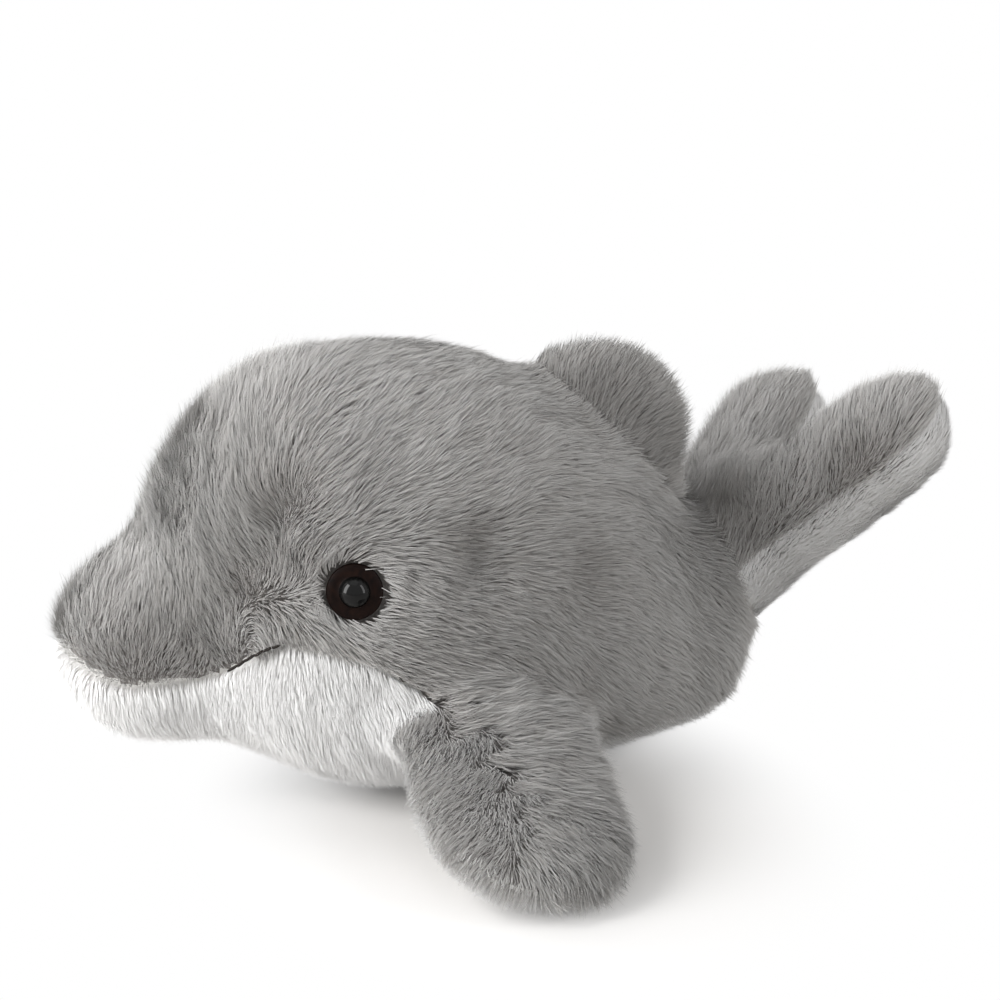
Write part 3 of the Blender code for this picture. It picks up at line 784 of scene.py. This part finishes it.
def clearOfEyes(roots, tips, stray):
    # Hardly a strand stands in an eye.
    keep = np.ones(len(roots), bool)
    for seat, hand in zip(bothSides(eyes["seat"]), (1, -1)):
        axis = np.array(eyes["axis"]) * (hand, 1, 1)
        for place, radius in ((roots, eyeRoom["root"]), (tips, eyeRoom["tip"])):
            off = place - seat
            up = off @ axis
            away = np.linalg.norm(off - up[:, None] * axis, axis=1)
            inside = (away < radius) & (np.abs(up) < eyeRoom["height"])
            keep &= ~inside | (stray & (away > eyeRoom["strayRadius"]))
    return keep


def growPile(mesh, settings):
    rng = np.random.default_rng(settings["seed"])
    count = settings["strands"]
    roots, normals = sampleSkin(mesh, count, rng)
    seamFar = np.array([whiteSearch.find_nearest(Vector(p))[3] for p in roots])
    owners = ownersOf(roots, seamFar, settings["tailEdge"])
    wide = noiseAt(roots, settings["swirlWide"], 0)
    fine = noiseAt(roots, settings["swirlFine"], settings["fineShift"])
    flow = flowOf(roots, normals, owners, fine)
    print("strands rooted")
    byWide, byFine, byChance = settings["turns"]
    turn = np.radians(byWide * wide + byFine * fine + rng.normal(0, byChance, count))
    sideways = np.cross(normals, flow)
    flow = flow * np.cos(turn)[:, None] + sideways * np.sin(turn)[:, None]
    sideways = np.cross(normals, flow)

    zones = zonesOf(roots, owners, seamFar, fine)
    white = ofCovers(owners, whiteCovers)
    calm = np.where(white, settings["whiteCalm"], 1)
    length = settings["length"] * (1 + rng.normal(0, settings["lengthSpread"], count) * calm)
    length *= 1 + weighed(zones, shorter)
    length *= 1 + weighed(zones, longer)
    length *= np.where(white, settings["whiteLength"], 1.0)
    rootLean = settings["rootLean"] - weighed(zones, rootLift)
    rootLean = np.radians(rootLean + rng.normal(0, settings["rootSpread"], count) * calm)
    tipLean = settings["tipLean"] - weighed(zones, tipLift)
    tipLean = np.radians(tipLean + rng.normal(0, settings["tipSpread"], count) * calm)

    first = normals * np.cos(rootLean)[:, None] + flow * np.sin(rootLean)[:, None]
    second = normals * np.cos(tipLean)[:, None] + flow * np.sin(tipLean)[:, None]
    middle = roots + first * (length * bendAt)[:, None]
    tip = middle + second * (length * (1 - bendAt))[:, None]
    leader = clumpOf(roots, settings["clumpSize"])
    print("clumps found")
    pull = settings["clumpPull"] * rng.random(count) * calm
    middle += (middle[leader] - middle) * (pull * settings["middlePull"])[:, None]
    tip += (tip[leader] - tip) * pull[:, None]
    keep = clearOfEyes(roots, tip, rng.random(count) < eyeRoom["strays"])
    for place in (middle, tip):
        # no strand goes through the floor
        least = settings["floorGap"] + settings["floorSpread"] * rng.random(count)
        place[:, 2] = np.maximum(place[:, 2], least)

    roll = rng.uniform(-settings["roll"], settings["roll"], count)
    roll *= np.where(white, settings["whiteRoll"], 1 + zones["parting"])
    blade = sideways * np.cos(roll)[:, None] + normals * np.sin(roll)[:, None]
    along = unit(tip - roots)
    blade = unit(blade - along * np.sum(blade * along, axis=1, keepdims=True))
    blade *= np.sign(np.sum(np.cross(blade, along) * normals, axis=1, keepdims=True))
    spread = settings["widthSpread"]
    width = settings["width"] * (1 - spread / 2 + spread * rng.random(count))
    tone = settings["tone"] + settings["toneSpread"] * rng.normal(0, 1, count)
    tone += settings["clumpTone"] * rng.normal(0, 1, count)[leader] + weighed(zones, zoneTonesAndPaintedShade)
    return {
        "root": roots, "middle": middle, "tip": tip, "half": blade * width[:, None] / 2,
        "tone": np.clip(tone, *settings["toneEnds"]), "owner": owners, "keep": keep,
    }


def strandMesh(name, strands, chosen):
    # Each strand is a narrow kite, bent across its middle.
    wanted = ("root", "middle", "tip", "half", "tone")
    root, middle, tip, half, tone = (strands[key][chosen] for key in wanted)
    count = len(root)
    points = np.stack([root, middle - half, middle + half, tip], axis=1)
    corners = np.array((0, 2, 1, 1, 2, 3))
    faces = (np.arange(count)[:, None] * 4 + corners[None]).astype(np.int32)
    mesh = bpy.data.meshes.new(name)
    mesh.vertices.add(count * 4)
    mesh.vertices.foreach_set("co", points.astype(np.float32).ravel())
    mesh.loops.add(count * 6)
    mesh.loops.foreach_set("vertex_index", faces.ravel())
    mesh.polygons.add(count * 2)
    mesh.polygons.foreach_set("loop_start", np.arange(0, count * 6, 3, dtype=np.int32))
    # across the map the tone, up it the way from root to tip
    place = np.empty((count, 6, 2), np.float32)
    beside, (low, high) = pile["mapWidth"], pile["mapEnds"]
    place[:, :, 0] = tone[:, None] + np.array((0, -beside, beside, 0))[corners][None]
    place[:, :, 1] = np.array((low, bendAt, bendAt, high))[corners][None]
    mesh.uv_layers.new(name="OFBake").data.foreach_set("uv", place.ravel())
    mesh.update(calc_edges=True)
    mesh.shade_smooth()
    return mesh


def addPiece(name, mesh, materials):
    piece = bpy.data.objects.new(name, mesh)
    scene.collection.objects.link(piece)
    for made in materials:
        mesh.materials.append(made)
    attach(piece, "root")
    return piece


def addPile(strands):
    for number, nodeName in enumerate(coverNames):
        mine = np.flatnonzero((strands["owner"] == number) & strands["keep"])
        order = mine[np.argsort(strands["root"][mine, 1], kind="stable")]
        colour = coverNodes[nodeName]
        parts = max(1, math.ceil(len(order) / pile["mostInPiece"]))
        for part, chosen in enumerate(np.array_split(order, parts)):
            name = f"{nodeName.replace('_cover', '')}_pile_{part + 1}"
            addPiece(name, strandMesh(name, strands, chosen), [pileMaterials[colour]])
            print(name, len(chosen))


addPile(growPile(skin, pile))
print("pile grown")


# One backing for each cover, cut from the soft form.
def addBackings(mesh):
    owners = [coverOf(face.center) for face in mesh.polygons]
    for number, nodeName in enumerate(coverNames):
        bm = bmesh.new()
        bm.from_mesh(mesh)
        others = [face for face, owner in zip(bm.faces, owners) if owner != number]
        bmesh.ops.delete(bm, geom=others, context="FACES")
        name = nodeName.replace("_cover", "_backing")
        part = bpy.data.meshes.new(name)
        bm.to_mesh(part)
        bm.free()
        part.shade_smooth()
        colour = coverNodes[nodeName]
        piece = addPiece(name, part, [backingMaterials[colour]])
        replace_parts(piece, nodeName)


addBackings(skin)
print("backings cut")

# The eyes: a matt brown ring round a domed, glossy pupil.
ringLook = {
    "dark": (0.003, 0.0012, 0.001), "light": (0.010, 0.004, 0.0025), "scale": 500.0,
    "relief": 0.1, "depth": 0.0001, "roughness": 0.45, "specular": 0.07,
}
pupilLook = {
    "dark": (0.002, 0.002, 0.002), "light": (0.003, 0.003, 0.003), "scale": 200.0,
    "relief": 0.0, "depth": 0.0001, "roughness": 0.04, "specular": 0.2,
}
eyeShape = {
    "back": -0.0005,
    "backShare": 0.93,  # radius of the flat back, as a share of the eye's
    "pupilRadius": 0.0050,
    "top": 0.0068,
    "rim": 0.0026,
    "edgeShare": 0.45,  # where the rounded edge is widest, as a share of the rim's height
    "edgeTurn": (-1.2, 1.4),
    "edgeSteps": 8,
    "slope": ((1.3, 1.05), (1.05, 1.0)),  # shares of the pupil's radius and the rim's height
    "domeStart": 0.05,
    "domeSteps": 14,
    "steps": 64,
}
eyeMaterials = [mottledMaterial("eyeRing", ringLook), mottledMaterial("eyePupil", pupilLook)]


def spunEye(name, hand):
    # A profile turned round the eye's axis: back, rounded edge, sloping ring, then the dome.
    radius, pupil = eyes["radius"], eyeShape["pupilRadius"]
    rim, top, inner = eyeShape["rim"], eyeShape["top"], eyeShape["backShare"]
    edge = rim * eyeShape["edgeShare"]
    profile = [(0.0, eyeShape["back"]), (radius * inner, eyeShape["back"])]
    for a in np.linspace(*eyeShape["edgeTurn"], eyeShape["edgeSteps"]):
        profile.append((radius * (inner + (1 - inner) * math.cos(a)), edge + edge * math.sin(a)))
    profile += [(pupil * out, rim * high) for out, high in eyeShape["slope"]]
    for a in np.linspace(eyeShape["domeStart"], math.pi / 2, eyeShape["domeSteps"]):
        profile.append((pupil * math.cos(a), rim + (top - rim) * math.sin(a)))
    bm = bmesh.new()
    verts = [bm.verts.new((r, 0, z)) for r, z in profile]
    edges = [bm.edges.new(pair) for pair in zip(verts[:-1], verts[1:])]
    bmesh.ops.spin(
        bm, geom=verts + edges, cent=(0, 0, 0), axis=(0, 0, 1), angle=2 * math.pi,
        steps=eyeShape["steps"], use_merge=True,
    )
    bmesh.ops.remove_doubles(bm, verts=bm.verts, dist=0.000005)
    bmesh.ops.recalc_face_normals(bm, faces=bm.faces)
    for face in bm.faces:
        middle = face.calc_center_median()
        face.material_index = int(math.hypot(middle.x, middle.y) < pupil * 1.01 and middle.z > rim)
        face.smooth = True
    mesh = bpy.data.meshes.new(name)
    axis = Vector(eyes["axis"]) * Vector((hand, 1, 1))
    seat = Vector(bothSides(eyes["seat"])[0 if hand > 0 else 1])
    bm.transform(Matrix.Translation(seat) @ axis.to_track_quat("Z", "Y").to_matrix().to_4x4())
    bm.to_mesh(mesh)
    bm.free()
    return mesh


for sideName, hand in (("left", 1), ("right", -1)):
    name = f"domed_eye_{sideName}"
    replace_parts(addPiece(name, spunEye(name, hand), eyeMaterials), f"eye_{sideName}")
print("eyes made")

# The corners of the mouth: a row of short stitches along the line of the CAD thread.
stitches = {
    "count": 6,
    "overlap": 0.12,  # share of a stitch that lies over the next one
    "radius": 0.0005,
    "deeper": 0.0005,  # metres in from the CAD thread
    "lift": 0.0004,  # how far the middle of a stitch stands off its ends
    "rings": 9,
    "sides": 8,
    "slices": 12,  # points along the CAD thread that the stitches follow
    "reach": 0.92,  # share of its length that they cover
    "endRadius": 0.15,  # share of the radius at a stitch's ends
    "fullness": 0.4,
    "forward": 0.4,  # how far the face looks forward where they are
}
threadLook = {
    "dark": (0.012, 0.010, 0.009), "light": (0.035, 0.030, 0.027), "scale": 2500.0,
    "relief": 0.5, "depth": 0.0002, "roughness": 0.85, "specular": 0.15,
}
threadMaterial = mottledMaterial("mouthThread", threadLook)


def threadLine(nodeName, count):
    # The middle line of the CAD thread, from slices of its points.
    points = coordinates(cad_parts[nodeName].data)
    points = points[np.argsort(points[:, 1], kind="stable")]
    return np.array([part.mean(axis=0) for part in np.array_split(points, count)])


def addTube(bm, centres, radii, sides):
    # A closed tube through the centres, drawn to a point at both ends.
    rings = []
    for i, (centre, radius) in enumerate(zip(centres, radii)):
        along = (centres[min(i + 1, len(centres) - 1)] - centres[max(i - 1, 0)]).normalized()
        across = along.cross(Vector((0, 0, 1))).normalized()
        upward = across.cross(along)
        angles = [2 * math.pi * k / sides for k in range(sides)]
        ring = [centre + (across * math.cos(t) + upward * math.sin(t)) * radius for t in angles]
        rings.append([bm.verts.new(point) for point in ring])
    for first, second in zip(rings[:-1], rings[1:]):
        for k in range(sides):
            bm.faces.new((first[k], first[(k + 1) % sides], second[(k + 1) % sides], second[k]))
    bm.faces.new(rings[0][::-1])
    bm.faces.new(rings[-1])


def stitchMesh(name, nodeName, hand):
    line = threadLine(nodeName, stitches["slices"])
    places = np.linspace(0, (len(line) - 1) * stitches["reach"], stitches["count"] + 1)
    outward = Vector((hand, -stitches["forward"], 0)).normalized()
    bm = bmesh.new()
    for start, end in zip(places[:-1], places[1:]):
        more = (end - start) * stitches["overlap"]
        shares = np.linspace(0, 1, stitches["rings"])
        centres, radii = [], []
        for share in shares:
            at = start - more + (end - start + 2 * more) * share
            point = Vector([float(np.interp(at, np.arange(len(line)), line[:, k])) for k in range(3)])
            bow = math.sin(math.pi * share)
            # each stitch crosses the line a little
            point += outward * (stitches["lift"] * bow - stitches["deeper"])
            point += Vector((0, 0, (share - 0.5) * stitches["radius"]))
            centres.append(point)
            radii.append(stitches["radius"] * max(stitches["endRadius"], bow ** stitches["fullness"]))
        addTube(bm, centres, radii, stitches["sides"])
    bmesh.ops.recalc_face_normals(bm, faces=bm.faces)
    mesh = bpy.data.meshes.new(name)
    bm.to_mesh(mesh)
    bm.free()
    mesh.shade_smooth()
    return mesh


for sideName, hand in (("left", 1), ("right", -1)):
    name, nodeName = f"mouth_stitches_{sideName}", f"mouth_thread_{sideName}"
    row = addPiece(name, stitchMesh(name, nodeName, hand), [threadMaterial])
    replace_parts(row, nodeName)
print("stitches made")

# CAD nodes that stay as they are take a better material.
washerLook = {
    "dark": (0.72, 0.72, 0.69), "light": (0.78, 0.78, 0.75), "scale": 300.0,
    "relief": 0.1, "depth": 0.0002, "roughness": 0.5, "specular": 0.4,
}


def dress(nodeName, made):
    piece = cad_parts[nodeName]
    if not piece.material_slots:
        piece.data.materials.append(None)
    for slot in piece.material_slots:
        slot.material = made


for nodeName in fillingNodes:
    dress(nodeName, stuffingMaterial)
washerMaterial = mottledMaterial("washerPlastic", washerLook)
for nodeName in ("eye_left_washer", "eye_right_washer"):
    dress(nodeName, washerMaterial)
print("CAD nodes dressed")

studio = {
    "floorSize": 6.0,
    "floorColour": (0.78, 0.765, 0.748),
    "floorLift": 0.04,  # light added to the floor as the camera sees it
    "shadowMiddle": (0.075, -0.020, 0.0),
    "shadowReach": (0.125, 0.105, 1.0),  # metres each way over which the floor still takes a shadow
    "fade": (0.35, 1.05),  # shares of that reach between which the shadow fades out
    "worldStrength": 0.40,
    "lampsAim": (0, 0, 0.07),
}


def makeFloor():
    bm = bmesh.new()
    bmesh.ops.create_grid(bm, x_segments=2, y_segments=2, size=studio["floorSize"] / 2)
    mesh = bpy.data.meshes.new("floor")
    bm.to_mesh(mesh)
    bm.free()
    floor = bpy.data.objects.new("floor", mesh)
    scene.collection.objects.link(floor)
    made, tree, shader = newMaterial("floorPaper", {"roughness": 0.9, "specular": 0.1})
    feed(tree, shader.inputs["Base Color"], studio["floorColour"])
    seen = addNode(tree, "ShaderNodeLightPath", {}).outputs["Is Camera Ray"]
    lift = mathOf(tree, "MULTIPLY", seen, studio["floorLift"])
    glow = addNode(tree, "ShaderNodeEmission", {"Color": (1.0, 1.0, 1.0), "Strength": lift}).outputs[0]
    paper = addNode(tree, "ShaderNodeAddShader", {0: shader.outputs[0], 1: glow}).outputs[0]
    away = addNode(tree, "ShaderNodeTexCoord", {}).outputs["Object"]
    away = mathOf(tree, "SUBTRACT", away, studio["shadowMiddle"], kind="ShaderNodeVectorMath")
    away = mathOf(tree, "DIVIDE", away, studio["shadowReach"], kind="ShaderNodeVectorMath")
    away = mathOf(tree, "LENGTH", away, kind="ShaderNodeVectorMath")
    fade = spanOf(tree, away, *studio["fade"])
    fade.node.interpolation_type = "SMOOTHSTEP"
    white = addNode(tree, "ShaderNodeEmission", {"Color": (1.0, 1.0, 1.0)}).outputs[0]
    mixed = mathOf(tree, "MULTIPLY", fade, seen)
    mixed = addNode(tree, "ShaderNodeMixShader", {0: mixed, 1: paper, 2: white}).outputs[0]
    feed(tree, tree.nodes["Material Output"].inputs["Surface"], mixed)
    mesh.materials.append(made)


def makeWorld():
    # White to the camera and in reflections, and plain soft light on everything.
    world = bpy.data.worlds.new("studio")
    world.use_nodes = True
    tree = world.node_tree
    around = tree.nodes["Background"]
    feed(tree, around.inputs["Color"], (1.0, 1.0, 1.0))
    around.inputs["Strength"].default_value = studio["worldStrength"]
    path = addNode(tree, "ShaderNodeLightPath", {}).outputs
    seen = path["Is Camera Ray"]
    for ray in ("Is Glossy Ray", "Is Transmission Ray"):
        seen = mathOf(tree, "MAXIMUM", seen, path[ray])
    white = addNode(tree, "ShaderNodeBackground", {"Color": (1.0, 1.0, 1.0)}).outputs[0]
    mixed = addNode(tree, "ShaderNodeMixShader", {0: seen, 1: around.outputs[0], 2: white}).outputs[0]
    feed(tree, tree.nodes["World Output"].inputs["Surface"], mixed)
    scene.world = world


lamps = (
    # name, degrees round from the camera, degrees up, distance, width, height, watts
    ("leftSoftbox", -63, 26, 1.3, 0.55, 1.2, 21),
    ("farLeftSoftbox", -112, 24, 1.3, 0.6, 1.2, 11),
    ("rightSoftbox", 62, 26, 1.3, 0.36, 1.2, 6.5),
    ("topSoftbox", -20, 78, 1.4, 1.0, 1.0, 1.5),
)


def makeLamps():
    middle = Vector(studio["lampsAim"])
    for name, roundCamera, up, distance, width, height, watts in lamps:
        a = math.radians(view["azimuth"] + roundCamera)
        e = math.radians(up)
        out = Vector((math.sin(a) * math.cos(e), -math.cos(a) * math.cos(e), math.sin(e)))
        light = bpy.data.lights.new(name, "AREA")
        light.shape = "RECTANGLE"
        light.size, light.size_y = width, height
        light.energy = watts
        lamp = bpy.data.objects.new(name, light)
        lamp.location = middle + out * distance
        lamp.rotation_euler = (-out).to_track_quat("-Z", "Y").to_euler()
        scene.collection.objects.link(lamp)


makeFloor()
makeWorld()
makeLamps()
scene.view_settings.view_transform = "Standard"

print("floor, world and lamps made")
